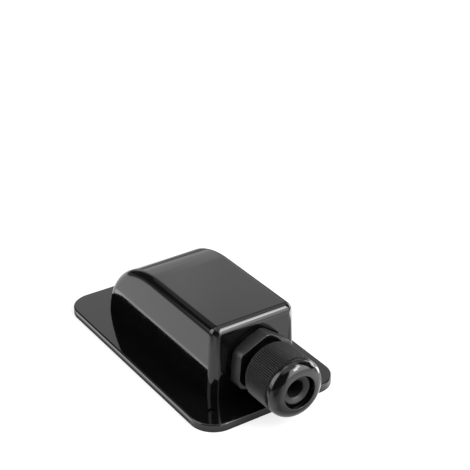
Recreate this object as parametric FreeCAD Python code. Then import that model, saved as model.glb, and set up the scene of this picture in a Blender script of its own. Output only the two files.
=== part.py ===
import FreeCAD, Part
import math
import os

# A roof entry box for one solar cable: a moulded hood on a flange, with a cable gland in its front wall.
# Sizes are in millimetres. The origin is the centre of the flange's underside, where the box is stuck or
# screwed to the roof. +X runs along the gland, out of the box, and +Z is up.

# Flange
FLANGE_LENGTH = 111.5
FLANGE_WIDTH = 63.0
FLANGE_THICKNESS = 3.3
FLANGE_CORNER_RADIUS = 10.0
FLANGE_EDGE_ROUND = 0.6

# Screw holes, one in each front corner of the flange
SCREW_HOLE_RADIUS = 1.5
SCREW_INSET_X = 9.85
SCREW_INSET_Y = 8.7

# Hood
HOOD_BASE_WIDTH = 39.4
HOOD_FRONT_MARGIN = 14.0
HOOD_REAR_MARGIN = 15.9
HOOD_REAR_CURVE = 35.9
HOOD_DRAFT_DEG = 2.4
HOOD_WALL = 2.2
HOOD_CORNER_RADIUS = 3.5
HOOD_ROOF_ROUND = 3.3

# Gland, along its axis from the hood's front wall outwards
SPIGOT_RADIUS = 10.0
SPIGOT_BORE_RADIUS = 6.0
SPIGOT_BEYOND_NUT = 2.0
WASHER_THICKNESS = 1.5
WASHER_RADIUS = 11.4
HEX_FLATS = 24.0
HEX_CORNER_RADIUS = 13.2
HEX_THICKNESS = 5.75
HEX_EDGE_CHAMFER = 0.4
HEX_TURN_DEG = -5.5
HEX_OVER_FLANGE = 0.3
COLLAR_RADIUS = 9.6
COLLAR_LENGTH = 9.5
LOCKNUT_THICKNESS = 5.0
LOCKNUT_CHAMFER = 0.8

# Clamping fingers at the collar's end
FINGER_COUNT = 8
FINGER_LENGTH = 7.8
FINGER_ROOT_RADIUS = 8.9
FINGER_STRAIGHT = 3.0
FINGER_TIP_THICKNESS = 0.8
FINGER_SLIT = 1.0

# Rubber seal
SEAL_RADIUS = 6.6
SEAL_BORE_RADIUS = 3.5
SEAL_NOSE_LENGTH = 3.4
SEAL_DISH_DEPTH = 2.1
SEAL_POCKET_FLOOR = 1.3

# Domed cap, its sleeve as wide as the hexagon
CAP_GAP = 2.6
CAP_SLEEVE_RADIUS = HEX_FLATS / 2
CAP_REAR_RING = 0.5
RIB_COUNT = 90
RIB_DEPTH = 0.35
GROOVE_DEPTH = 0.5
GROOVE_WIDTH = 0.7
DOME_UNDER_SLEEVE = 0.1
DOME_RIM_LENGTH = 0.4
DOME_RIM_CHAMFER = 0.2
DOME_NOSE_LENGTH = 4.2
DOME_NOSE_DEPTH = 4.7
MOUTH_DEPTH = 4.0
MOUTH_RADIUS = 6.2
MOUTH_LIP_ROUND = 0.6

# Clearances
RUNNING_GAP = 0.3
SEATED_GAP = 0.15
NUT_UNDER_ROOF = 2.1

# Places that follow from the sizes above
FLANGE_FRONT_X = FLANGE_LENGTH / 2
FLANGE_SIDE_Y = FLANGE_WIDTH / 2
HOOD_FRONT_X = FLANGE_FRONT_X - HOOD_FRONT_MARGIN
HOOD_REAR_X = HOOD_REAR_MARGIN - FLANGE_FRONT_X
DRAFT = math.tan(math.radians(HOOD_DRAFT_DEG))
AXIS_Z = FLANGE_THICKNESS + HEX_OVER_FLANGE + HEX_CORNER_RADIUS
HOOD_TOP_Z = AXIS_Z + HEX_CORNER_RADIUS + NUT_UNDER_ROOF + HOOD_WALL
HEX_REAR_X = HOOD_FRONT_X + WASHER_THICKNESS
HEX_FRONT_X = HEX_REAR_X + HEX_THICKNESS
WALL_INSIDE_X = HOOD_FRONT_X - HOOD_WALL
SPIGOT_END_X = WALL_INSIDE_X - LOCKNUT_THICKNESS - SPIGOT_BEYOND_NUT
COLLAR_END_X = HEX_FRONT_X + COLLAR_LENGTH
FINGER_TIP_X = COLLAR_END_X + FINGER_LENGTH
POCKET_RADIUS = SEAL_RADIUS + RUNNING_GAP
POCKET_FLOOR_X = HEX_FRONT_X + SEAL_POCKET_FLOOR
SEAL_FRONT_X = FINGER_TIP_X + SEAL_NOSE_LENGTH
CAP_REAR_X = HEX_FRONT_X + CAP_GAP
CAP_THREAD_END_X = COLLAR_END_X + FINGER_STRAIGHT + RUNNING_GAP
CONE_END_X = FINGER_TIP_X + RUNNING_GAP
CAP_FRONT_X = CONE_END_X + MOUTH_DEPTH
NOSE_X = CAP_FRONT_X - DOME_NOSE_LENGTH
DOME_REAR_X = NOSE_X - DOME_RIM_LENGTH
RIB_END_X = DOME_REAR_X - GROOVE_WIDTH
DOME_RADIUS = CAP_SLEEVE_RADIUS - DOME_UNDER_SLEEVE
NOSE_FRONT_RADIUS = DOME_RADIUS - DOME_NOSE_DEPTH


def point(x, radius):
    """A point of a turned section: its place along the gland and its distance from the axis."""
    return FreeCAD.Vector(x, 0, AXIS_Z + radius)


def lines(corners):
    """Straight edges from each corner to the next."""
    return [Part.makeLine(a, b) for a, b in zip(corners, corners[1:])]


def turned(edges):
    """The solid that a closed section makes, turned about the gland's axis."""
    face = Part.Face(Part.Wire(edges))
    return face.revolve(FreeCAD.Vector(0, 0, AXIS_Z), FreeCAD.Vector(1, 0, 0), 360)


def turned_polygon(section):
    corners = [point(x, radius) for x, radius in section]
    return turned(lines(corners + corners[:1]))


def rod(start_x, end_x, radius):
    """A cylinder on the gland's axis."""
    base = FreeCAD.Vector(start_x, 0, AXIS_Z)
    return Part.makeCylinder(radius, end_x - start_x, base, FreeCAD.Vector(1, 0, 0))


def on_circle(x, radius, angle):
    """A point around the gland's axis, its angle measured from straight up, positive towards -Y."""
    return FreeCAD.Vector(x, -radius * math.sin(angle), AXIS_Z + radius * math.cos(angle))


def hexagon(start_x, end_x, flats, corner_radius, turn_deg):
    """A hexagon bar on the gland's axis, its corners rounded by a cylinder."""
    sharp_radius = flats / 2 / math.cos(math.pi / 6)
    turn = math.radians(turn_deg)
    corners = [on_circle(start_x, sharp_radius, turn + k * math.pi / 3) for k in range(7)]
    bar = Part.Face(Part.Wire(lines(corners))).extrude(FreeCAD.Vector(end_x - start_x, 0, 0))
    return bar.common(rod(start_x, end_x, corner_radius))


def edges_in_plane(shape, axis, place):
    """The edges that lie in a plane square to an axis."""
    found = []
    for edge in shape.Edges:
        box = edge.BoundBox
        low = getattr(box, axis + "Min")
        high = getattr(box, axis + "Max")
        if abs(low - place) < 1e-3 and abs(high - place) < 1e-3:
            found.append(edge)
    return found


def half_width(z, inset):
    """Half the hood's width at a height, on its drafted side or inset from that."""
    return HOOD_BASE_WIDTH / 2 - (z - FLANGE_THICKNESS) * DRAFT - inset


def hood_side(inset, bottom_z):
    """The hood's outline from the side: flat roof, upright front and a quarter ellipse to the rear."""
    rear_x = HOOD_REAR_X + inset
    front_x = HOOD_FRONT_X - inset
    roof_z = HOOD_TOP_Z - inset
    curve_length = HOOD_REAR_CURVE - inset
    curve_height = roof_z - FLANGE_THICKNESS
    centre = FreeCAD.Vector(rear_x + curve_length, 0, FLANGE_THICKNESS)
    rear_end = FreeCAD.Vector(-curve_length, 0, 0) + centre
    top_end = FreeCAD.Vector(0, 0, curve_height) + centre
    if curve_length >= curve_height:
        ellipse = Part.Ellipse(rear_end, top_end, centre)
    else:
        ellipse = Part.Ellipse(top_end, rear_end, centre)
    start = ellipse.parameter(rear_end)
    end = ellipse.parameter(top_end)
    if (end - start) % (2 * math.pi) > math.pi:
        start, end = end, start
    if end < start:
        end += 2 * math.pi
    curve = ellipse.toShape(start, end)
    roof_front = FreeCAD.Vector(front_x, 0, roof_z)
    front_foot = FreeCAD.Vector(front_x, 0, bottom_z)
    rear_foot = FreeCAD.Vector(rear_x, 0, bottom_z)
    straight = lines([top_end, roof_front, front_foot, rear_foot, rear_end])
    return Part.Face(Part.Wire(Part.__sortEdges__([curve] + straight)))


def hood_end(inset, bottom_z, top_z):
    """The hood's outline from the end: two drafted sides."""
    low = half_width(bottom_z, inset)
    high = half_width(top_z, inset)
    x = HOOD_REAR_X - HOOD_WALL
    corners = [
        FreeCAD.Vector(x, -low, bottom_z),
        FreeCAD.Vector(x, low, bottom_z),
        FreeCAD.Vector(x, high, top_z),
        FreeCAD.Vector(x, -high, top_z),
    ]
    return Part.Face(Part.Wire(lines(corners + corners[:1])))


def is_corner_edge(edge):
    """Whether an edge is one of the two upright ones at the hood's front corners."""
    return abs(edge.BoundBox.XLength) < 1e-3 and edge.BoundBox.ZLength > HOOD_TOP_Z / 2


def hood_block(inset, bottom_z):
    """The hood's outer form with its rounded roof, or with an inset the plain room inside its walls."""
    roof_z = HOOD_TOP_Z - inset
    side = hood_side(inset, bottom_z)
    side.translate(FreeCAD.Vector(0, -FLANGE_WIDTH / 2, 0))
    long_block = side.extrude(FreeCAD.Vector(0, FLANGE_WIDTH, 0))
    wedge = hood_end(inset, bottom_z, roof_z + 1).extrude(FreeCAD.Vector(FLANGE_LENGTH, 0, 0))
    block = long_block.common(wedge)
    front = [e for e in edges_in_plane(block, "X", HOOD_FRONT_X - inset) if is_corner_edge(e)]
    block = block.makeFillet(HOOD_CORNER_RADIUS - inset, front)
    if inset:
        return block
    roof_rim = [e for e in block.Edges if is_rim_of_sides(e, roof_z, bottom_z)]
    return block.makeFillet(HOOD_ROOF_ROUND, roof_rim)


def is_rim_of_sides(edge, roof_z, bottom_z):
    """Whether an edge joins the roof or the rear curve to a side or to the front wall."""
    box = edge.BoundBox
    across_rear = box.YLength > HOOD_BASE_WIDTH / 2 and box.XMin < 0
    upright_at_front = box.XMin > HOOD_FRONT_X - HOOD_CORNER_RADIUS - HOOD_WALL and box.ZMin < roof_z - 1e-3
    at_foot = box.ZMax < bottom_z + 1e-3
    return not (across_rear or upright_at_front or at_foot)


def flange_plate():
    """The flange's plate with its rounded corners and top edge."""
    plate = Part.makeBox(
        FLANGE_LENGTH,
        FLANGE_WIDTH,
        FLANGE_THICKNESS,
        FreeCAD.Vector(-FLANGE_FRONT_X, -FLANGE_SIDE_Y, 0),
    )
    upright = [e for e in plate.Edges if e.BoundBox.ZLength > FLANGE_THICKNESS / 2]
    plate = plate.makeFillet(FLANGE_CORNER_RADIUS, upright)
    return plate.makeFillet(FLANGE_EDGE_ROUND, edges_in_plane(plate, "Z", FLANGE_THICKNESS))


def housing():
    """The moulded box: a flange, a hood open at the bottom, the gland's hole and the screw holes."""
    shell = flange_plate().fuse(hood_block(0, 0)).removeSplitter()
    shell = shell.cut(hood_block(HOOD_WALL, -1))
    shell = shell.cut(rod(WALL_INSIDE_X - 1, HOOD_FRONT_X + 1, SPIGOT_RADIUS + SEATED_GAP))
    for side in (-1, 1):
        foot = FreeCAD.Vector(FLANGE_FRONT_X - SCREW_INSET_X, side * (FLANGE_SIDE_Y - SCREW_INSET_Y), -1)
        shell = shell.cut(Part.makeCylinder(SCREW_HOLE_RADIUS, FLANGE_THICKNESS + 2, foot))
    return shell


def finger_slits():
    """The slits that part the clamping fingers, each a thin plate across the axis."""
    plates = []
    for k in range(FINGER_COUNT // 2):
        plate = Part.makeBox(
            FINGER_LENGTH,
            FINGER_SLIT,
            4 * FINGER_ROOT_RADIUS,
            FreeCAD.Vector(COLLAR_END_X + FINGER_SLIT, -FINGER_SLIT / 2, AXIS_Z - 2 * FINGER_ROOT_RADIUS),
        )
        turn = 360 * k / FINGER_COUNT
        plate.rotate(FreeCAD.Vector(0, 0, AXIS_Z), FreeCAD.Vector(1, 0, 0), turn)
        plates.append(plate)
    return Part.makeCompound(plates)


def gland_body():
    """One nylon moulding: spigot, hexagon, threaded collar and the ring of fingers that grips the seal."""
    finger_tip_radius = POCKET_RADIUS + FINGER_TIP_THICKNESS
    tube = turned_polygon(
        [
            (SPIGOT_END_X, SPIGOT_BORE_RADIUS),
            (SPIGOT_END_X, SPIGOT_RADIUS - LOCKNUT_CHAMFER),
            (SPIGOT_END_X + LOCKNUT_CHAMFER, SPIGOT_RADIUS),
            (HEX_REAR_X, SPIGOT_RADIUS),
            (HEX_FRONT_X, COLLAR_RADIUS),
            (COLLAR_END_X, COLLAR_RADIUS),
            (COLLAR_END_X, FINGER_ROOT_RADIUS),
            (COLLAR_END_X + FINGER_STRAIGHT, FINGER_ROOT_RADIUS),
            (FINGER_TIP_X, finger_tip_radius),
            (FINGER_TIP_X, POCKET_RADIUS),
            (POCKET_FLOOR_X, POCKET_RADIUS),
            (POCKET_FLOOR_X, SPIGOT_BORE_RADIUS),
        ]
    )
    bar = hexagon(HEX_REAR_X, HEX_FRONT_X, HEX_FLATS, HEX_CORNER_RADIUS, HEX_TURN_DEG)
    bar = bar.makeChamfer(HEX_EDGE_CHAMFER, edges_in_plane(bar, "X", HEX_FRONT_X))
    bar = bar.cut(rod(HEX_REAR_X - 1, HEX_FRONT_X + 1, POCKET_RADIUS + 1))
    return tube.fuse(bar).removeSplitter().cut(finger_slits())


def gland_washer():
    """The flat rubber gasket between the hexagon and the hood's wall."""
    ring = rod(HOOD_FRONT_X, HEX_REAR_X, WASHER_RADIUS)
    return ring.cut(rod(HOOD_FRONT_X - 1, HEX_REAR_X + 1, SPIGOT_RADIUS + SEATED_GAP))


def gland_locknut():
    """The thin hexagon nut that draws the gland against the wall, inside the hood."""
    rear_x = WALL_INSIDE_X - LOCKNUT_THICKNESS
    bar = hexagon(rear_x, WALL_INSIDE_X, HEX_FLATS, 2 * HEX_CORNER_RADIUS, HEX_TURN_DEG)
    barrel = turned_polygon(
        [
            (rear_x, 0),
            (rear_x, HEX_CORNER_RADIUS - LOCKNUT_CHAMFER),
            (rear_x + LOCKNUT_CHAMFER, HEX_CORNER_RADIUS),
            (WALL_INSIDE_X, HEX_CORNER_RADIUS),
            (WALL_INSIDE_X, 0),
        ]
    )
    nut = bar.common(barrel)
    return nut.cut(rod(rear_x - 1, WALL_INSIDE_X + 1, SPIGOT_RADIUS + SEATED_GAP))


def gland_seal():
    """The rubber sleeve that the fingers press on the cable. Its dished nose fills the cap's mouth."""
    nose_radius = MOUTH_RADIUS - RUNNING_GAP
    return turned_polygon(
        [
            (POCKET_FLOOR_X + RUNNING_GAP, SEAL_BORE_RADIUS),
            (POCKET_FLOOR_X + RUNNING_GAP, SEAL_RADIUS),
            (FINGER_TIP_X, SEAL_RADIUS),
            (FINGER_TIP_X, nose_radius),
            (SEAL_FRONT_X, nose_radius),
            (SEAL_FRONT_X - SEAL_DISH_DEPTH, SEAL_BORE_RADIUS),
        ]
    )


def ribbed_bar(start_x, end_x):
    """The outside of the cap's grip: fine ribs along the axis."""
    corners = []
    for k in range(RIB_COUNT):
        turn = 2 * math.pi * k / RIB_COUNT
        corners.append(on_circle(start_x, CAP_SLEEVE_RADIUS, turn))
        corners.append(on_circle(start_x, CAP_SLEEVE_RADIUS - RIB_DEPTH, turn + math.pi / RIB_COUNT))
    outline = Part.Face(Part.Wire(lines(corners + corners[:1])))
    return outline.extrude(FreeCAD.Vector(end_x - start_x, 0, 0))


def dome():
    """The outside of the cap's nose, with the groove that parts it from the ribs."""
    groove_radius = CAP_SLEEVE_RADIUS - GROOVE_DEPTH
    slant = math.sqrt(0.5)
    nose_side = point(NOSE_X, DOME_RADIUS)
    nose_middle = point(NOSE_X + DOME_NOSE_LENGTH * slant, DOME_RADIUS - DOME_NOSE_DEPTH * (1 - slant))
    nose_end = point(CAP_FRONT_X, NOSE_FRONT_RADIUS)
    straight = [
        nose_end,
        point(CAP_FRONT_X, 0),
        point(RIB_END_X, 0),
        point(RIB_END_X, groove_radius),
        point(DOME_REAR_X, groove_radius),
        point(DOME_REAR_X, DOME_RADIUS - DOME_RIM_CHAMFER),
        point(DOME_REAR_X + DOME_RIM_CHAMFER, DOME_RADIUS),
        nose_side,
    ]
    return turned([Part.Arc(nose_side, nose_middle, nose_end).toShape()] + lines(straight))


def cap_room():
    """The room inside the cap: thread, the cone that closes the fingers, and the mouth with its round lip."""
    bore_radius = COLLAR_RADIUS + RUNNING_GAP
    finger_room_radius = FINGER_ROOT_RADIUS + RUNNING_GAP
    cone_end_radius = POCKET_RADIUS + FINGER_TIP_THICKNESS + RUNNING_GAP
    lip_centre_radius = MOUTH_RADIUS + MOUTH_LIP_ROUND
    slant = MOUTH_LIP_ROUND * math.sqrt(0.5)
    lip_start = point(CAP_FRONT_X - MOUTH_LIP_ROUND, MOUTH_RADIUS)
    lip_middle = point(CAP_FRONT_X - MOUTH_LIP_ROUND + slant, lip_centre_radius - slant)
    lip_end = point(CAP_FRONT_X, lip_centre_radius)
    straight = [
        lip_end,
        point(CAP_FRONT_X + 1, lip_centre_radius),
        point(CAP_FRONT_X + 1, 0),
        point(CAP_REAR_X - 1, 0),
        point(CAP_REAR_X - 1, bore_radius),
        point(CAP_THREAD_END_X, bore_radius),
        point(CAP_THREAD_END_X, finger_room_radius),
        point(CONE_END_X, cone_end_radius),
        point(CONE_END_X, MOUTH_RADIUS),
        lip_start,
    ]
    return turned([Part.Arc(lip_start, lip_middle, lip_end).toShape()] + lines(straight))


def gland_cap():
    """The domed nut that screws on the collar."""
    rib_start_x = CAP_REAR_X + CAP_REAR_RING
    rear_ring = rod(CAP_REAR_X, rib_start_x, CAP_SLEEVE_RADIUS - RIB_DEPTH)
    outside = rear_ring.fuse([ribbed_bar(rib_start_x, RIB_END_X), dome()])
    return outside.cut(cap_room()).removeSplitter()


PIECES = {
    "housing": housing,
    "gland_body": gland_body,
    "gland_washer": gland_washer,
    "gland_locknut": gland_locknut,
    "gland_seal": gland_seal,
    "gland_cap": gland_cap,
}

os.makedirs("parts", exist_ok=True)
for name, make in PIECES.items():
    shape = make()
    shape.exportStep("parts/" + name + ".step")
    box = shape.BoundBox
    print(
        name,
        "solids", len(shape.Solids),
        "valid", shape.isValid(),
        "volume", round(shape.Volume, 1),
        "box", [round(v, 2) for v in (box.XMin, box.YMin, box.ZMin, box.XMax, box.YMax, box.ZMax)],
    )
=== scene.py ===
import bmesh
import bpy
import math
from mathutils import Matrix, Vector


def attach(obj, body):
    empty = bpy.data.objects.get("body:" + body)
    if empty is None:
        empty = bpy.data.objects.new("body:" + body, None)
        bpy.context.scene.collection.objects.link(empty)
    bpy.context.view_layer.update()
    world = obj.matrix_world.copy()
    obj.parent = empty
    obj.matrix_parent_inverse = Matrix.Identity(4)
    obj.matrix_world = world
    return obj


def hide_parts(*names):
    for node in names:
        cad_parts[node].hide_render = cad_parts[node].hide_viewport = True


# A roof entry box for one solar cable: a glossy black hood on a flange, with a nylon cable gland.
# The housing keeps its CAD mesh. The gland's five pieces are modelled here, with the threads that
# the CAD leaves plain. +X runs along the gland, out of the box, and +Z is up.
# Blender counts in metres. The named lengths are in millimetres, and MM turns them into metres.

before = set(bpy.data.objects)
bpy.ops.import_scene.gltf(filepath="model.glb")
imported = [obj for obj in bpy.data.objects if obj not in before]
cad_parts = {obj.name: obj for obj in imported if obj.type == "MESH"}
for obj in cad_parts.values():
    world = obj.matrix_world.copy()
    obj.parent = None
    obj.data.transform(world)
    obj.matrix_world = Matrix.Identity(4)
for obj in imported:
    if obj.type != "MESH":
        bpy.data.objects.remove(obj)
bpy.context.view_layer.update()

MM = 0.001
BOX_BODY, SEAL_BODY, CAP_BODY = "box", "seal", "cap"

# The camera, found from the photograph's perspective
CAMERA_AZIMUTH_DEG = 56.13
CAMERA_ELEVATION_DEG = 28.1
CAMERA_DISTANCE = 525.1
CAMERA_TARGET = Vector((-8.83, 24.74, 39.54))
CAMERA_LENS = 97.77
CAMERA_NEAR, CAMERA_FAR = 10, 20000

# Places along the gland's axis, from inside the hood to the cap's nose
AXIS_Z = 16.8
SPIGOT_END_X = 32.55
LOCKNUT_REAR_X = 34.55
WALL_INSIDE_X = 39.55
HOOD_FRONT_X = 41.75
HEX_REAR_X = 43.25
HEX_FRONT_X = 49.0
POCKET_FLOOR_X = 50.3
SEAL_REAR_X = 50.6
CAP_REAR_X = 51.6
RIBS_REAR_X = 52.1
COLLAR_END_X = 58.5
FINGER_ROOT_X = 59.5
FINGER_BEND_X = 61.5
CONE_START_X = 61.8
RIBS_FRONT_X = 65.3
DOME_REAR_X = 66.0
FINGER_TIP_X = 66.3
NOSE_X = 66.4
CONE_END_X = 66.6
SEAL_BORE_X = 67.6
SEAL_FACE_X = 68.6
CAP_FRONT_X = 70.6
BEYOND_THE_CAP_X = 100

# Hexagons, a little off upright, as the gland was tightened
HEX_FLATS = 24.0
HEX_HALF_SIDE_DEG = 30
HEX_TURN_DEG = -5.5
HEX_CORNER_STEPS, HEX_EDGE_STEPS = 8, 3
WALL_HOLE_RADIUS = 10.15

# Threads: a ridge of this section, its foot sunk into the wall that carries it, and its steps a turn
THREAD_PITCH = 1.5
THREAD_ROOT_WIDTH = 1.45
THREAD_CREST_WIDTH = 0.35
THREAD_SUNK = 0.15
THREAD_STEPS = 72

# Clamping fingers: cuts right across the collar's end part it into twice as many
FINGER_CUTS = 4
FINGER_CUT_WIDTH = 1.0
FINGER_CUT_DEPTH = 20

# The cap's ribs, with RIB_SIDES vertices from crest to crest. RIB_PROFILE says what share of its
# height a rib still has one to four vertices from its crest.
RIB_COUNT = 90
RIB_SIDES = 8
RIB_CREST_RADIUS = HEX_FLATS / 2
RIB_VALLEY_RADIUS = 11.35
# Inside this radius, down between the ribs, the nylon is darkened: painted shade
RIB_SHADE_RADIUS = 11.75
RIB_PROFILE = {1: 0.82, 2: 0.3, 3: 0.04, 4: 0.0}

# Steps of round shapes, how close vertices are that share a place or are merged, and the turn that
# lays a primitive along X
ROUND_STEPS = 96
NOSE_STEPS = 14
SMOOTH_DEG = 35
SAME_PLACE = 0.01
MERGE_DISTANCE = 0.001
LAID_ALONG_X = (0, math.pi / 2, 0)


def linear(hex_colour):
    """An sRGB hex colour as the linear colour that a shader takes."""
    channels = [int(hex_colour[i:i + 2], 16) / 255 for i in (1, 3, 5)]
    return [c / 12.92 if c <= 0.04045 else ((c + 0.055) / 1.055) ** 2.4 for c in channels] + [1.0]


def add(tree, kind, settings=None, links=None):
    """A new node of a kind, with its settings, and with its inputs linked to other outputs."""
    node = tree.nodes.new("ShaderNode" + kind)
    for name, value in (settings or {}).items():
        if isinstance(name, int) or name in node.inputs:
            node.inputs[name].default_value = value
        else:
            setattr(node, name, value)
    for name, source in (links or {}).items():
        tree.links.new(source, node.inputs[name])
    return node


def place_in_mm(tree):
    """Object coordinates in millimetres."""
    place = add(tree, "TexCoord").outputs["Object"]
    return add(tree, "VectorMath", {"operation": "SCALE", "Scale": 1 / MM}, {0: place}).outputs[0]


def window(tree, value, limits):
    """1 where a value lies between two limits and 0 outside them, with a soft step at both."""
    low, low_soft, high, high_soft = limits
    steps = []
    for edge, soft, below, above in ((low, low_soft, 0.0, 1.0), (high, high_soft, 1.0, 0.0)):
        settings = {
            "interpolation_type": "SMOOTHSTEP",
            "From Min": edge - soft / 2,
            "From Max": edge + soft / 2,
            "To Min": below,
            "To Max": above,
        }
        steps.append(add(tree, "MapRange", settings, {"Value": value}).outputs["Result"])
    return add(tree, "Math", {"operation": "MULTIPLY"}, {0: steps[0], 1: steps[1]}).outputs[0]


def grained(tree, place, size, detail, strength, depth):
    """The normal of a surface with a grain of this size and depth in millimetres."""
    noise = add(tree, "TexNoise", {"Scale": 1 / size, "Detail": detail}, {"Vector": place})
    settings = {"Strength": strength, "Distance": depth * MM}
    return add(tree, "Bump", settings, {"Height": noise.outputs["Fac"]}).outputs["Normal"]


def refinish(tree, surface, share, colour, roughness):
    """Gives a share of a surface another colour and roughness than it has so far."""
    for socket, kind, factor, old, new, value in (
        ("Base Color", "MixRGB", "Fac", "Color1", "Color2", linear(colour)),
        ("Roughness", "Mix", "Factor", "A", "B", roughness),
    ):
        so_far = surface.inputs[socket]
        mix = add(tree, kind, {old: so_far.default_value, new: value}, {factor: share})
        for link in so_far.links:
            tree.links.new(link.from_socket, mix.inputs[old])
        tree.links.new(mix.outputs[0], so_far)


def new_material(name):
    """An empty material, its node tree and its output node."""
    material = bpy.data.materials.new(name)
    material.use_nodes = True
    tree = material.node_tree
    tree.nodes.clear()
    return material, tree, add(tree, "OutputMaterial")


def glossy_abs():
    """Black ABS moulded in a polished tool: nearly a mirror, with a faint orange peel and haze."""
    material, tree, out = new_material("moulded_abs_gloss_black")
    place = place_in_mm(tree)
    peel = grained(tree, place, size=3.0, detail=1.0, strength=0.03, depth=0.02)
    # The polish is a little uneven, in clouds of about 14 mm
    haze = add(tree, "TexNoise", {"Scale": 1 / 14, "Detail": 3.0}, {"Vector": place})
    rough = add(
        tree,
        "MapRange",
        {"From Min": 0.3, "From Max": 0.7, "To Min": 0.04, "To Max": 0.08},
        {"Value": haze.outputs["Fac"]},
    )
    surface = add(
        tree,
        "BsdfPrincipled",
        {"Base Color": linear("#0b0b0b"), "IOR": 1.5},
        {"Roughness": rough.outputs["Result"], "Normal": peel},
    )
    tree.links.new(surface.outputs["BSDF"], out.inputs["Surface"])
    return material


def moulded_nylon(name, colour="#131314", polish_and_shade_from=None, shade_inside=None):
    """Black nylon moulded in a spark-eroded tool, which leaves a fine grain and a satin sheen.

    From a given place on along the gland the nylon is smoother and darker: on the dome the tool
    was polished, and on the collar's thread in the gap behind the cap the darkening is painted
    shade. Inside a given radius, down between the ribs, it is darkened to painted shade and rougher.
    """
    material, tree, out = new_material(name)
    place = place_in_mm(tree)
    surface = add(
        tree,
        "BsdfPrincipled",
        {"Base Color": linear(colour), "IOR": 1.53, "Roughness": 0.42},
        {"Normal": grained(tree, place, size=0.3, detail=2.0, strength=0.15, depth=0.01)},
    )
    if shade_inside is not None:
        to_axis = {"operation": "MULTIPLY_ADD", 1: (0, 1, 1), 2: (0, 0, -AXIS_Z)}
        across = add(tree, "VectorMath", to_axis, {0: place}).outputs[0]
        radius = add(tree, "VectorMath", {"operation": "LENGTH"}, {0: across}).outputs["Value"]
        # Down between the ribs the nylon is nearly black and rougher: painted shade
        rib_valley_shade = window(tree, radius, (0, 0.1, shade_inside, 0.3))
        refinish(tree, surface, rib_valley_shade, "#020202", 0.8)
    if polish_and_shade_from is not None:
        # Smoother and darker from a place along the gland on: the polished dome's own tone, and
        # painted shade on the collar's thread behind the cap
        along = add(tree, "SeparateXYZ", {}, {"Vector": place}).outputs["X"]
        polish_and_shade = window(tree, along, (polish_and_shade_from, 0.2, BEYOND_THE_CAP_X, 0.2))
        refinish(tree, surface, polish_and_shade, "#060607", 0.09)
    tree.links.new(surface.outputs["BSDF"], out.inputs["Surface"])
    return material


def soft_rubber():
    """Moulded dark grey rubber: matt, and nearly black behind its face, down its bore, a painted
    shade.
    """
    material, tree, out = new_material("moulded_rubber_dark_grey")
    place = place_in_mm(tree)
    along = add(tree, "SeparateXYZ", {}, {"Vector": place}).outputs["X"]
    # Behind the seal's face, down the bore, the rubber is nearly black: painted shade. The gasket
    # lies further back and takes the same dark tone
    face = {"From Min": SEAL_BORE_X - 0.2, "From Max": SEAL_BORE_X + 0.1}
    unshaded_face = add(tree, "MapRange", face, {"Value": along}).outputs["Result"]
    tones = {"Color1": linear("#040404"), "Color2": linear("#131314")}
    colour = add(tree, "MixRGB", tones, {"Fac": unshaded_face}).outputs["Color"]
    grain = grained(tree, place, size=0.4, detail=3.0, strength=0.2, depth=0.02)
    surface = add(
        tree,
        "BsdfPrincipled",
        {"IOR": 1.5, "Roughness": 0.5},
        {"Base Color": colour, "Normal": grain},
    )
    tree.links.new(surface.outputs["BSDF"], out.inputs["Surface"])
    return material


def give(obj, material):
    """Dresses a piece or a CAD node in one material."""
    obj.data.materials.clear()
    obj.data.materials.append(material)


ABS = glossy_abs()
SATIN_NYLON = moulded_nylon("moulded_nylon_satin")
# From the hexagon's front face on, the collar's thread is darkened: painted shade in the gap behind
# the cap
THREAD_NYLON = moulded_nylon("moulded_nylon_threaded", polish_and_shade_from=HEX_FRONT_X - 0.1)
# The rib crests are a lighter grey, a painted highlight, with painted shade between them; the
# polished dome is darker
DOME_NYLON = moulded_nylon("moulded_nylon_domed", "#3a3a3c", DOME_REAR_X - 0.1, RIB_SHADE_RADIUS)
RUBBER = soft_rubber()
give(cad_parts["housing"], ABS)


def on_axis(x):
    """A place on the gland's axis, in metres."""
    return (x * MM, 0, AXIS_Z * MM)


def select_only(*pieces):
    """Selects some pieces and nothing else, and makes the first one active."""
    bpy.ops.object.select_all(action="DESELECT")
    for piece in pieces:
        piece.select_set(True)
    bpy.context.view_layer.objects.active = pieces[0]


def select_where(piece, kind, test):
    """Selects those vertices or edges of a piece in edit mode that pass a test."""
    bpy.ops.mesh.select_mode(type={"verts": "VERT", "edges": "EDGE"}[kind])
    bpy.ops.mesh.select_all(action="DESELECT")
    mesh = bmesh.from_edit_mesh(piece.data)
    for part in getattr(mesh, kind):
        if test(part):
            part.select_set(True)
    mesh.select_flush_mode()
    bmesh.update_edit_mesh(piece.data)


def new_piece(name):
    """The primitive just added, named, with its place in its mesh, and open for editing."""
    piece = bpy.context.object
    piece.name = name
    bpy.ops.object.transform_apply(location=True, rotation=True, scale=True)
    bpy.ops.object.mode_set(mode="EDIT")
    return piece


def close_mesh():
    """Merges a piece's doubles, turns its faces outwards and ends the editing."""
    bpy.ops.mesh.select_mode(type="VERT")
    bpy.ops.mesh.select_all(action="SELECT")
    bpy.ops.mesh.remove_doubles(threshold=MERGE_DISTANCE * MM)
    bpy.ops.mesh.normals_make_consistent(inside=False)
    bpy.ops.object.mode_set(mode="OBJECT")


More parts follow.
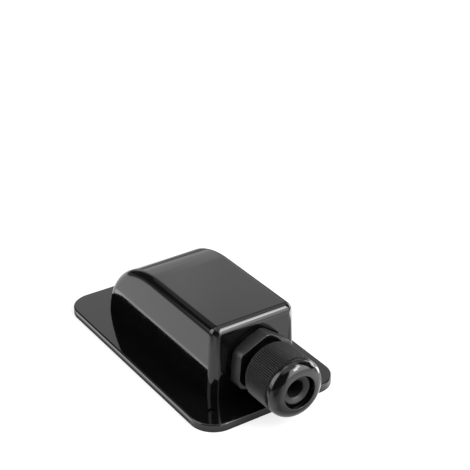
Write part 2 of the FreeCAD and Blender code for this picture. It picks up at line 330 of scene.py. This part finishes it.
def turned_ring(name, places, steps=ROUND_STEPS):
    """A closed ring on the gland's axis: a circle drawn through places, each an x and a radius."""
    x, radius = places[0]
    bpy.ops.object.select_all(action="DESELECT")
    bpy.ops.mesh.primitive_circle_add(
        vertices=steps, radius=radius * MM, location=on_axis(x), rotation=LAID_ALONG_X
    )
    piece = new_piece(name)
    for next_x, next_radius in places[1:] + places[:1]:
        move = ((next_x - x) * MM, 0, 0)
        bpy.ops.mesh.extrude_region_move(TRANSFORM_OT_translate={"value": move})
        grow = next_radius / radius
        bpy.ops.transform.resize(value=(1, grow, grow), center_override=on_axis(next_x))
        x, radius = next_x, next_radius
    close_mesh()
    return piece


def rounded(corner, first, second, steps=3):
    """Places along a quarter round, or a quarter ellipse, that takes off a corner.

    It starts at first from the corner and ends at second from it, each a step in x and radius.
    """
    places = []
    for k in range(steps + 1):
        a = math.pi / 2 * k / steps
        to_first, to_second = 1 - math.sin(a), 1 - math.cos(a)
        places.append(
            (
                corner[0] + first[0] * to_first + second[0] * to_second,
                corner[1] + first[1] * to_first + second[1] * to_second,
            )
        )
    return places


def add_prism(sides, radius, middle_x, length):
    """Adds a prism, or with many sides a rod, on the gland's axis."""
    bpy.ops.object.select_all(action="DESELECT")
    bpy.ops.mesh.primitive_cylinder_add(
        vertices=sides,
        radius=radius * MM,
        depth=length * MM,
        location=on_axis(middle_x),
        rotation=LAID_ALONG_X,
    )


def cut_away(piece, cutter):
    """Cuts a cutter's shape out of a piece, and deletes the cutter."""
    select_only(piece)
    cut = piece.modifiers.new("cut", "BOOLEAN")
    cut.operation = "DIFFERENCE"
    cut.solver = "EXACT"
    cut.object = cutter
    bpy.ops.object.modifier_apply(modifier=cut.name)
    bpy.data.objects.remove(cutter)


def hexagon_nut(name, rear_x, front_x, corner_round, edge_round, hole_radius):
    """A hexagon with rounded corners and edges and a hole, on the gland's axis."""
    half_side = math.radians(HEX_HALF_SIDE_DEG)
    middle_x, length = (rear_x + front_x) / 2, front_x - rear_x
    add_prism(6, HEX_FLATS / 2 / math.cos(half_side), middle_x, length)
    nut = new_piece(name)
    bpy.ops.mesh.select_all(action="SELECT")
    turn = math.radians(HEX_HALF_SIDE_DEG - HEX_TURN_DEG)
    bpy.ops.transform.rotate(value=turn, orient_axis="X", center_override=on_axis(0))

    def along_x(edge):
        run = edge.verts[1].co - edge.verts[0].co
        return abs(run.x) > 0.9 * run.length

    def at_an_end(edge):
        return any(
            all(abs(vert.co.x - end * MM) < SAME_PLACE * MM for vert in edge.verts)
            for end in (rear_x, front_x)
        )

    select_where(nut, "edges", along_x)
    corner_reach = corner_round * math.tan(half_side) * MM
    bpy.ops.mesh.bevel(offset=corner_reach, segments=HEX_CORNER_STEPS, affect="EDGES")
    select_where(nut, "edges", at_an_end)
    bpy.ops.mesh.bevel(offset=edge_round * MM, segments=HEX_EDGE_STEPS, affect="EDGES")
    close_mesh()
    # The rod that cuts the hole sticks out at both ends
    add_prism(ROUND_STEPS, hole_radius, middle_x, 2 * length)
    cut_away(nut, bpy.context.object)
    return nut


def thread(name, start_x, end_x, root_radius, crest_radius):
    """A right-handed ridge of thread: a trapezium drawn round the axis by the Screw modifier."""
    height = crest_radius - root_radius + THREAD_SUNK
    middle_radius = crest_radius - height / 2
    turns = (end_x - start_x) / THREAD_PITCH
    bpy.ops.object.select_all(action="DESELECT")
    bpy.ops.mesh.primitive_plane_add(
        size=MM, location=on_axis(start_x), rotation=(math.pi / 2, 0, 0)
    )
    ridge = bpy.context.object
    ridge.name = name
    bpy.ops.object.transform_apply(location=False, rotation=True, scale=True)
    bpy.ops.object.mode_set(mode="EDIT")
    bpy.ops.mesh.select_all(action="SELECT")
    section = (THREAD_ROOT_WIDTH, 1, height)
    bpy.ops.transform.resize(value=section, center_override=on_axis(start_x))
    bpy.ops.transform.translate(value=(0, 0, middle_radius * MM))
    bpy.ops.mesh.delete(type="ONLY_FACE")
    select_where(ridge, "verts", lambda vert: vert.co.z > middle_radius * MM)
    narrowing = (THREAD_CREST_WIDTH / THREAD_ROOT_WIDTH, 1, 1)
    bpy.ops.transform.resize(value=narrowing, center_override=on_axis(start_x))
    bpy.ops.object.mode_set(mode="OBJECT")
    screw = ridge.modifiers.new("screw", "SCREW")
    screw.axis = "X"
    screw.angle = 2 * math.pi * turns
    screw.screw_offset = (end_x - start_x) * MM
    screw.steps = screw.render_steps = round(THREAD_STEPS * turns)
    bpy.ops.object.modifier_apply(modifier=screw.name)
    bpy.ops.object.transform_apply(location=True, rotation=True, scale=True)
    bpy.ops.object.mode_set(mode="EDIT")
    bpy.ops.mesh.select_all(action="SELECT")
    bpy.ops.mesh.fill_holes(sides=4)
    # Half a turn puts the ridge's blunt start below, where it doesn't show
    bpy.ops.transform.rotate(value=math.pi, orient_axis="X", center_override=on_axis(0))
    close_mesh()
    return ridge


def joined(name, pieces):
    """Several closed meshes as one object, because they are one moulding."""
    select_only(*pieces)
    bpy.ops.object.join()
    pieces[0].name = name
    return pieces[0]


def finish_piece(piece, node, body, material):
    """Smooths a piece's shading, dresses it, and lets it stand for its CAD node."""
    select_only(piece)
    bpy.ops.object.shade_smooth_by_angle(angle=math.radians(SMOOTH_DEG))
    give(piece, material)
    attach(piece, body)
    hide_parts(node)


def gland_core():
    """Spigot, hexagon, threaded collar and clamping fingers, in one moulding."""
    bore, pocket, hexagon_hole = 6.0, 6.9, 8.4
    spigot_wall, spigot_crest, collar_wall, collar_crest = 9.05, 10.0, 8.9, 9.6
    finger_shoulder, finger_tip = 7.75, 7.55
    tube = turned_ring(
        "gland_core_tube",
        [(SPIGOT_END_X, bore + 0.3)]
        + rounded((SPIGOT_END_X, spigot_wall), (0, -0.4), (0.4, 0))
        + [(HEX_REAR_X + 0.3, spigot_wall), (HEX_REAR_X + 0.4, collar_wall)]
        + [(FINGER_BEND_X, collar_wall), (FINGER_TIP_X - 0.2, finger_shoulder)]
        + [(FINGER_TIP_X, finger_tip), (FINGER_TIP_X, pocket + 0.15)]
        + [(FINGER_TIP_X - 0.15, pocket), (POCKET_FLOOR_X, pocket)]
        + [(POCKET_FLOOR_X, bore), (SPIGOT_END_X + 0.3, bore)],
    )
    cut_end_x = FINGER_TIP_X + 1
    for k in range(FINGER_CUTS):
        bpy.ops.object.select_all(action="DESELECT")
        bpy.ops.mesh.primitive_cube_add(
            size=MM,
            location=on_axis((FINGER_ROOT_X + cut_end_x) / 2),
            rotation=(k * math.pi / FINGER_CUTS, 0, 0),
            scale=(cut_end_x - FINGER_ROOT_X, FINGER_CUT_WIDTH, FINGER_CUT_DEPTH),
        )
        cut_away(tube, bpy.context.object)
    hexagon = hexagon_nut(
        "gland_core_hexagon",
        HEX_REAR_X,
        HEX_FRONT_X,
        corner_round=3.2,
        edge_round=0.3,
        hole_radius=hexagon_hole,
    )
    collar = thread(
        "gland_core_collar", HEX_FRONT_X + 0.3, COLLAR_END_X - 0.7, collar_wall, collar_crest
    )
    spigot = thread(
        "gland_core_spigot", SPIGOT_END_X + 0.8, HEX_REAR_X - 0.8, spigot_wall, spigot_crest
    )
    core = joined("gland_core", [tube, hexagon, collar, spigot])
    finish_piece(core, "gland_body", BOX_BODY, THREAD_NYLON)


def gland_washer():
    """The rubber gasket between hexagon and front wall, its pressed rim rounded."""
    rim = 11.4
    washer = turned_ring(
        "gland_gasket",
        [(HOOD_FRONT_X, WALL_HOLE_RADIUS)]
        + rounded((HOOD_FRONT_X, rim), (0, -0.5), (0.5, 0))
        + rounded((HEX_REAR_X, rim), (-0.5, 0), (0, -0.5))
        + [(HEX_REAR_X, WALL_HOLE_RADIUS)],
    )
    finish_piece(washer, "gland_washer", BOX_BODY, RUBBER)


def gland_locknut():
    """The hexagon nut inside the hood, its edges broken."""
    nut = hexagon_nut(
        "gland_nut",
        LOCKNUT_REAR_X,
        WALL_INSIDE_X,
        corner_round=4.2,
        edge_round=0.5,
        hole_radius=WALL_HOLE_RADIUS,
    )
    finish_piece(nut, "gland_locknut", BOX_BODY, SATIN_NYLON)


def gland_seal():
    """The rubber sleeve with its rounded nose, whose face is dished round the cable's bore."""
    sleeve, waist, nose, dish, bore = 6.6, 5.7, 6.05, 5.2, 3.5
    seal = turned_ring(
        "gland_rubber",
        [(SEAL_REAR_X, bore + 0.2), (SEAL_REAR_X, sleeve - 0.3), (SEAL_REAR_X + 0.3, sleeve)]
        + [(FINGER_TIP_X - 0.2, sleeve), (FINGER_TIP_X, sleeve - 0.15)]
        + [(FINGER_TIP_X + 0.1, waist), (SEAL_BORE_X, waist), (SEAL_BORE_X + 0.4, nose)]
        + rounded((SEAL_FACE_X, nose), (-0.4, 0), (0, -0.4), 4)
        + [(SEAL_FACE_X - 0.15, dish), (SEAL_BORE_X + 0.15, bore + 0.3)]
        + [(SEAL_BORE_X, bore + 0.1), (SEAL_BORE_X - 0.15, bore), (SEAL_REAR_X + 0.2, bore)],
    )
    finish_piece(seal, "gland_seal", SEAL_BODY, RUBBER)


def steps_from_crest(vert):
    """How many vertices round the axis lie between a vertex of the cap and a rib's crest."""
    angle = math.degrees(math.atan2(vert.co.y, vert.co.z - AXIS_Z * MM))
    step = round(angle * RIB_COUNT * RIB_SIDES / 360) % RIB_SIDES
    return min(step, RIB_SIDES - step)


def gland_cap():
    """The domed nut: a sleeve of fine rounded ribs, a groove, and a polished nose with a mouth."""
    groove, dome, nose_front, mouth = 11.3, 11.9, 7.2, 6.8
    thread_room, cone_rear, cone_front = 9.9, 9.2, 8.0
    rib_rows = [
        (RIBS_REAR_X + 0.15, RIB_VALLEY_RADIUS + 0.3),
        (RIBS_REAR_X + 0.4, RIB_CREST_RADIUS),
        (RIBS_FRONT_X - 0.4, RIB_CREST_RADIUS),
        (RIBS_FRONT_X - 0.15, RIB_VALLEY_RADIUS + 0.3),
    ]
    cap = turned_ring(
        "gland_dome_nut",
        [(CAP_REAR_X, thread_room + 0.3)]
        + rounded((CAP_REAR_X, RIB_VALLEY_RADIUS), (0, -0.2), (0.2, 0))
        + [(RIBS_REAR_X, RIB_VALLEY_RADIUS), *rib_rows, (RIBS_FRONT_X, RIB_VALLEY_RADIUS)]
        + [(RIBS_FRONT_X + 0.05, groove), (DOME_REAR_X, groove)]
        + rounded((DOME_REAR_X, dome), (0, -0.25), (0.25, 0))
        + rounded(
            (CAP_FRONT_X, dome), (NOSE_X - CAP_FRONT_X, 0), (0, nose_front - dome), NOSE_STEPS
        )
        + rounded((CAP_FRONT_X, mouth), (0, 0.15), (-0.15, 0))
        + [(SEAL_BORE_X, mouth), (CONE_END_X, mouth - 0.3), (CONE_END_X, cone_front)]
        + [(CONE_START_X, cone_rear), (CONE_START_X, thread_room)]
        + [(CAP_REAR_X + 0.3, thread_room)],
        RIB_COUNT * RIB_SIDES,
    )
    bpy.ops.object.mode_set(mode="EDIT")
    for row_x, row_radius in rib_rows:
        for steps, share in RIB_PROFILE.items():

            def in_valley(vert):
                in_row = abs(vert.co.x - row_x * MM) < SAME_PLACE * MM
                return in_row and steps_from_crest(vert) == steps

            select_where(cap, "verts", in_valley)
            left_standing = (row_radius - RIB_VALLEY_RADIUS) * share
            shrink = (RIB_VALLEY_RADIUS + left_standing) / row_radius
            bpy.ops.transform.resize(value=(1, shrink, shrink), center_override=on_axis(row_x))
    close_mesh()
    finish_piece(cap, "gland_cap", CAP_BODY, DOME_NYLON)


gland_core()
gland_washer()
gland_locknut()
gland_seal()
gland_cap()


# What glossy surfaces show of the room: cards and softboxes, each a soft-edged patch of the sky. A
# patch has its two sides, in degrees from +X towards +Y, then its lower and upper edge, as the sine
# of their elevation, and what it adds to the brightness. Each side and edge is followed by how soft
# it is.
DARK_SURROUND = 0.05
CARDS = {
    "ceiling": ((-200, 1, 200, 1), (0.87, 0.14, 1.2, 0.1), 0.95),
    "ceiling_rear_left": ((-200, 1, -120, 20), (0.9, 0.14, 1.2, 0.1), 1.3),
    "ceiling_front": ((60, 20, 128, 10), (0.8, 0.06, 0.93, 0.08), 0.5),
    "ceiling_left": ((-60, 10, 0, 10), (0.79, 0.06, 0.93, 0.08), 0.5),
    "softbox_right": ((0, 12, 60, 5), (-0.5, 0.1, 0.84, 0.12), 2.2),
    "softbox_right_middle": ((0, 12, 60, 5), (0.14, 0.2, 0.78, 0.12), 1.9),
    "softbox_right_core": ((17, 6, 31, 6), (0.44, 0.14, 0.7, 0.1), 14.0),
    "softbox_right_core_side": ((31, 6, 47, 6), (0.58, 0.1, 0.76, 0.08), 11.0),
    "softbox_high_right": ((47, 5, 62, 8), (0.72, 0.05, 0.86, 0.05), 7.0),
    "card_far_left": ((-200, 1, -158, 5), (0.62, 0.03, 0.7, 0.04), 0.32),
    "card_far_rear": ((158, 10, 200, 1), (0.58, 0.06, 0.72, 0.04), 0.25),
    "softbox_left": ((-135, 10, -91, 10), (-0.5, 0.1, 0.86, 0.1), 1.7),
    "softbox_left_middle": ((-135, 10, -91, 10), (0.2, 0.2, 0.78, 0.15), 2.2),
    "rim_light": ((84, 6, 113, 8), (-0.5, 0.1, 0.18, 0.1), 6.2),
    "rim_light_top": ((103, 6, 116, 6), (0.18, 0.1, 0.4, 0.15), 2.4),
    "card_behind": ((92, 8, 135, 6), (0.25, 0.12, 0.88, 0.1), 0.5),
    "card_behind_low": ((135, 6, 148, 4), (-0.03, 0.6, 0.66, 0.08), 0.78),
    "card_behind_high": ((135, 6, 148, 4), (0.66, 0.08, 0.88, 0.1), 0.5),
    "card_behind_bright": ((133, 6, 150, 4), (0.36, 0.08, 0.54, 0.08), 0.22),
    "card_rear": ((148, 4, 165, 3), (-0.5, 0.1, 0.61, 0.04), 0.85),
    "card_rear_bright": ((148, 4, 163, 4), (0.25, 0.1, 0.61, 0.04), 0.15),
    "rear_wall": ((165, 3, 174, 14), (-0.5, 0.1, 0.55, 0.12), 0.6),
}

# What glossy surfaces show of the floor: white paper that darkens between two distances from the
# object, with patches of painted light and painted shade. A patch has the x of its two sides, then
# their y, and what it adds to the paper's brightness. Each side is again followed by how soft it is.
PAPER_BRIGHTNESS, TABLE_BRIGHTNESS, LEAST_BRIGHTNESS = 1.1, 0.1, 0.08
PAPER_FADE_START, PAPER_FADE_END = 150, 420
CONTACT_SHADE_DISTANCE = 4
FLOOR_PATCHES = {
    "shade_towards_the_eye": ((82, 24, 150, 40), (-75, 40, -8, 12), -0.6),
    "shade_to_the_left": ((102, 30, 300, 60), (-200, 60, -36, 24), -0.9),
    "shade_under_the_dome": ((52, 10, 77, 8), (-16, 10, 22, 12), -0.45),
    "shade_before_the_dome": ((75, 4, 86, 8), (-14, 10, 16, 10), -0.45),
    # A painted pool of light on the paper before the wall
    "light_before_the_wall": ((66, 8, 96, 12), (26, 10, 70, 20), 0.3),
    "softbox_right": ((93, 20, 900, 60), (10, 20, 700, 60), 0.8),
    "softbox_right_far": ((280, 260, 900, 60), (20, 60, 700, 60), 1.0),
    "shade_right": ((88, 14, 128, 30), (104, 30, 600, 60), -1.2),
    "shade_beside_the_wall": ((40, 8, 67, 4), (34, 6, 62, 6), -0.45),
    # A painted pool of light on the paper beside the gland
    "light_beside_the_gland": ((54, 4, 66, 4), (12, 6, 32, 6), 0.8),
    "rim_light": ((40, 10, 69, 6), (64, 6, 420, 60), 6.0),
    "rim_light_far": ((-300, 200, 100, 60), (420, 60, 3000, 60), 5.0),
    "shade_behind": ((-260, 60, -10, 60), (52, 14, 400, 60), -0.85),
    "shade_far_left": ((-500, 60, 60, 40), (-500, 60, -71, 22), -0.95),
    "shade_at_the_rim": ((-60, 4, 44, 6), (-32.5, 0.6, -30, 1), -0.7),
    # A painted band of light on the paper along the flange's rim
    "light_at_the_rim": ((-60, 4, 44, 6), (-35.1, 0.6, -32.9, 0.8), 1.4),
}

# The light on matt surfaces. To the eye the floor's glow and lit paper together are white, and a
# shadow takes away a part of that.
WHITE = linear("#ffffff")
ROOM_LIGHT = 0.75
PAPER_GLOW = 0.75
FLOOR_SIZE = 6000
KEY_PLACE = Vector((750, 400, 750))
KEY_SIZE = 700
KEY_WATTS = 12.0


def camera():
    """The camera, which looks down at the object from the front left."""
    azimuth, elevation = math.radians(CAMERA_AZIMUTH_DEG), math.radians(CAMERA_ELEVATION_DEG)
    back = Vector(
        (
            math.sin(azimuth) * math.cos(elevation),
            -math.cos(azimuth) * math.cos(elevation),
            math.sin(elevation),
        )
    )
    data = bpy.data.cameras.new("camera")
    data.lens = CAMERA_LENS
    data.clip_start, data.clip_end = CAMERA_NEAR * MM, CAMERA_FAR * MM
    obj = bpy.data.objects.new("camera", data)
    bpy.context.scene.collection.objects.link(obj)
    obj.location = (CAMERA_TARGET + back * CAMERA_DISTANCE) * MM
    obj.rotation_mode = "QUATERNION"
    obj.rotation_quaternion = (-back).to_track_quat("-Z", "Y")
    bpy.context.scene.camera = obj


def sum_of_patches(tree, across, up, patches, start):
    """A starting brightness plus that of patches, each placed by two coordinates."""
    total = start
    for across_limits, up_limits, brightness in patches:
        inside = {0: window(tree, across, across_limits), 1: window(tree, up, up_limits)}
        patch = add(tree, "Math", {"operation": "MULTIPLY"}, inside).outputs[0]
        settings = {"operation": "MULTIPLY_ADD", 1: brightness}
        total = add(tree, "Math", settings, {0: patch, 2: total}).outputs[0]
    return total


def by_ray(tree, on_matt, in_gloss, to_eye):
    """Three shaders in one: for light on matt surfaces, for glossy and clear ones, for the eye."""
    rays = add(tree, "LightPath").outputs
    mirrored = {0: rays["Is Glossy Ray"], 1: rays["Is Transmission Ray"]}
    gloss = add(tree, "Math", {"operation": "MAXIMUM"}, mirrored).outputs[0]
    unseen = add(tree, "MixShader", {}, {0: gloss, 1: on_matt, 2: in_gloss}).outputs[0]
    return add(tree, "MixShader", {}, {0: rays["Is Camera Ray"], 1: unseen, 2: to_eye}).outputs[0]


def surround():
    """White to the eye, an even light on matt surfaces, and cards and softboxes in glossy ones."""
    world = bpy.data.worlds.new("studio")
    world.use_nodes = True
    tree = world.node_tree
    tree.nodes.clear()
    direction = add(tree, "TexCoord").outputs["Generated"]
    parts = add(tree, "SeparateXYZ", {}, {"Vector": direction}).outputs
    compass = add(tree, "Math", {"operation": "ARCTAN2"}, {0: parts["Y"], 1: parts["X"]})
    degrees = add(tree, "Math", {"operation": "DEGREES"}, {0: compass.outputs[0]}).outputs[0]
    dark = add(tree, "Value")
    dark.outputs[0].default_value = DARK_SURROUND
    total = sum_of_patches(tree, degrees, parts["Z"], CARDS.values(), dark.outputs[0])
    room = add(tree, "Background", {"Color": WHITE, "Strength": ROOM_LIGHT})
    cards = add(tree, "Background", {"Color": WHITE}, {"Strength": total})
    white = add(tree, "Background", {"Color": WHITE, "Strength": 1.0})
    shader = by_ray(tree, room.outputs[0], cards.outputs[0], white.outputs[0])
    add(tree, "OutputWorld", {}, {"Surface": shader})
    bpy.context.scene.world = world


def floor():
    """White paper on a dark table: white all over to the eye, but not in glossy surfaces."""
    bpy.ops.mesh.primitive_plane_add(size=FLOOR_SIZE * MM, location=(0, 0, 0))
    plane = bpy.context.object
    plane.name = "floor"
    material, tree, out = new_material("floor_white_paper")
    place = place_in_mm(tree)
    parts = add(tree, "SeparateXYZ", {}, {"Vector": place}).outputs
    reach = add(tree, "VectorMath", {"operation": "LENGTH"}, {0: place}).outputs["Value"]
    fade = add(
        tree,
        "MapRange",
        {
            "interpolation_type": "SMOOTHSTEP",
            "From Min": PAPER_FADE_START,
            "From Max": PAPER_FADE_END,
            "To Min": PAPER_BRIGHTNESS,
            "To Max": TABLE_BRIGHTNESS,
        },
        {"Value": reach},
    ).outputs["Result"]
    total = sum_of_patches(tree, parts["X"], parts["Y"], FLOOR_PATCHES.values(), fade)
    least = {"operation": "MAXIMUM", 1: LEAST_BRIGHTNESS}
    total = add(tree, "Math", least, {0: total}).outputs[0]
    nearby = {"samples": 8, "Distance": CONTACT_SHADE_DISTANCE * MM}
    contact = add(tree, "AmbientOcclusion", nearby).outputs["AO"]
    total = add(tree, "Math", {"operation": "MULTIPLY"}, {0: total, 1: contact}).outputs[0]

    paper = add(tree, "BsdfDiffuse", {"Color": linear("#eaeaea")})
    table = add(tree, "BsdfDiffuse", {"Color": linear("#616161")})
    patches = add(tree, "Emission", {"Color": WHITE}, {"Strength": total})
    in_gloss = add(tree, "AddShader", {}, {0: table.outputs[0], 1: patches.outputs[0]})
    shaded = add(tree, "BsdfDiffuse", {"Color": linear("#a0a0a0")})
    glow = add(tree, "Emission", {"Color": WHITE, "Strength": PAPER_GLOW})
    to_eye = add(tree, "AddShader", {}, {0: shaded.outputs[0], 1: glow.outputs[0]})
    shader = by_ray(tree, paper.outputs[0], in_gloss.outputs[0], to_eye.outputs[0])
    tree.links.new(shader, out.inputs["Surface"])
    give(plane, material)


def key_softbox():
    """A square softbox lamp, high on the front right, that faces the object."""
    light = bpy.data.lights.new("key_softbox", "AREA")
    light.shape = "SQUARE"
    light.size = KEY_SIZE * MM
    light.energy = KEY_WATTS
    lamp = bpy.data.objects.new("key_softbox", light)
    bpy.context.scene.collection.objects.link(lamp)
    lamp.location = KEY_PLACE * MM
    lamp.rotation_mode = "QUATERNION"
    lamp.rotation_quaternion = (-lamp.location).to_track_quat("-Z", "Y")
    lamp.visible_glossy = False


camera()
surround()
floor()
key_softbox()
bpy.context.scene.view_settings.view_transform = "Standard"
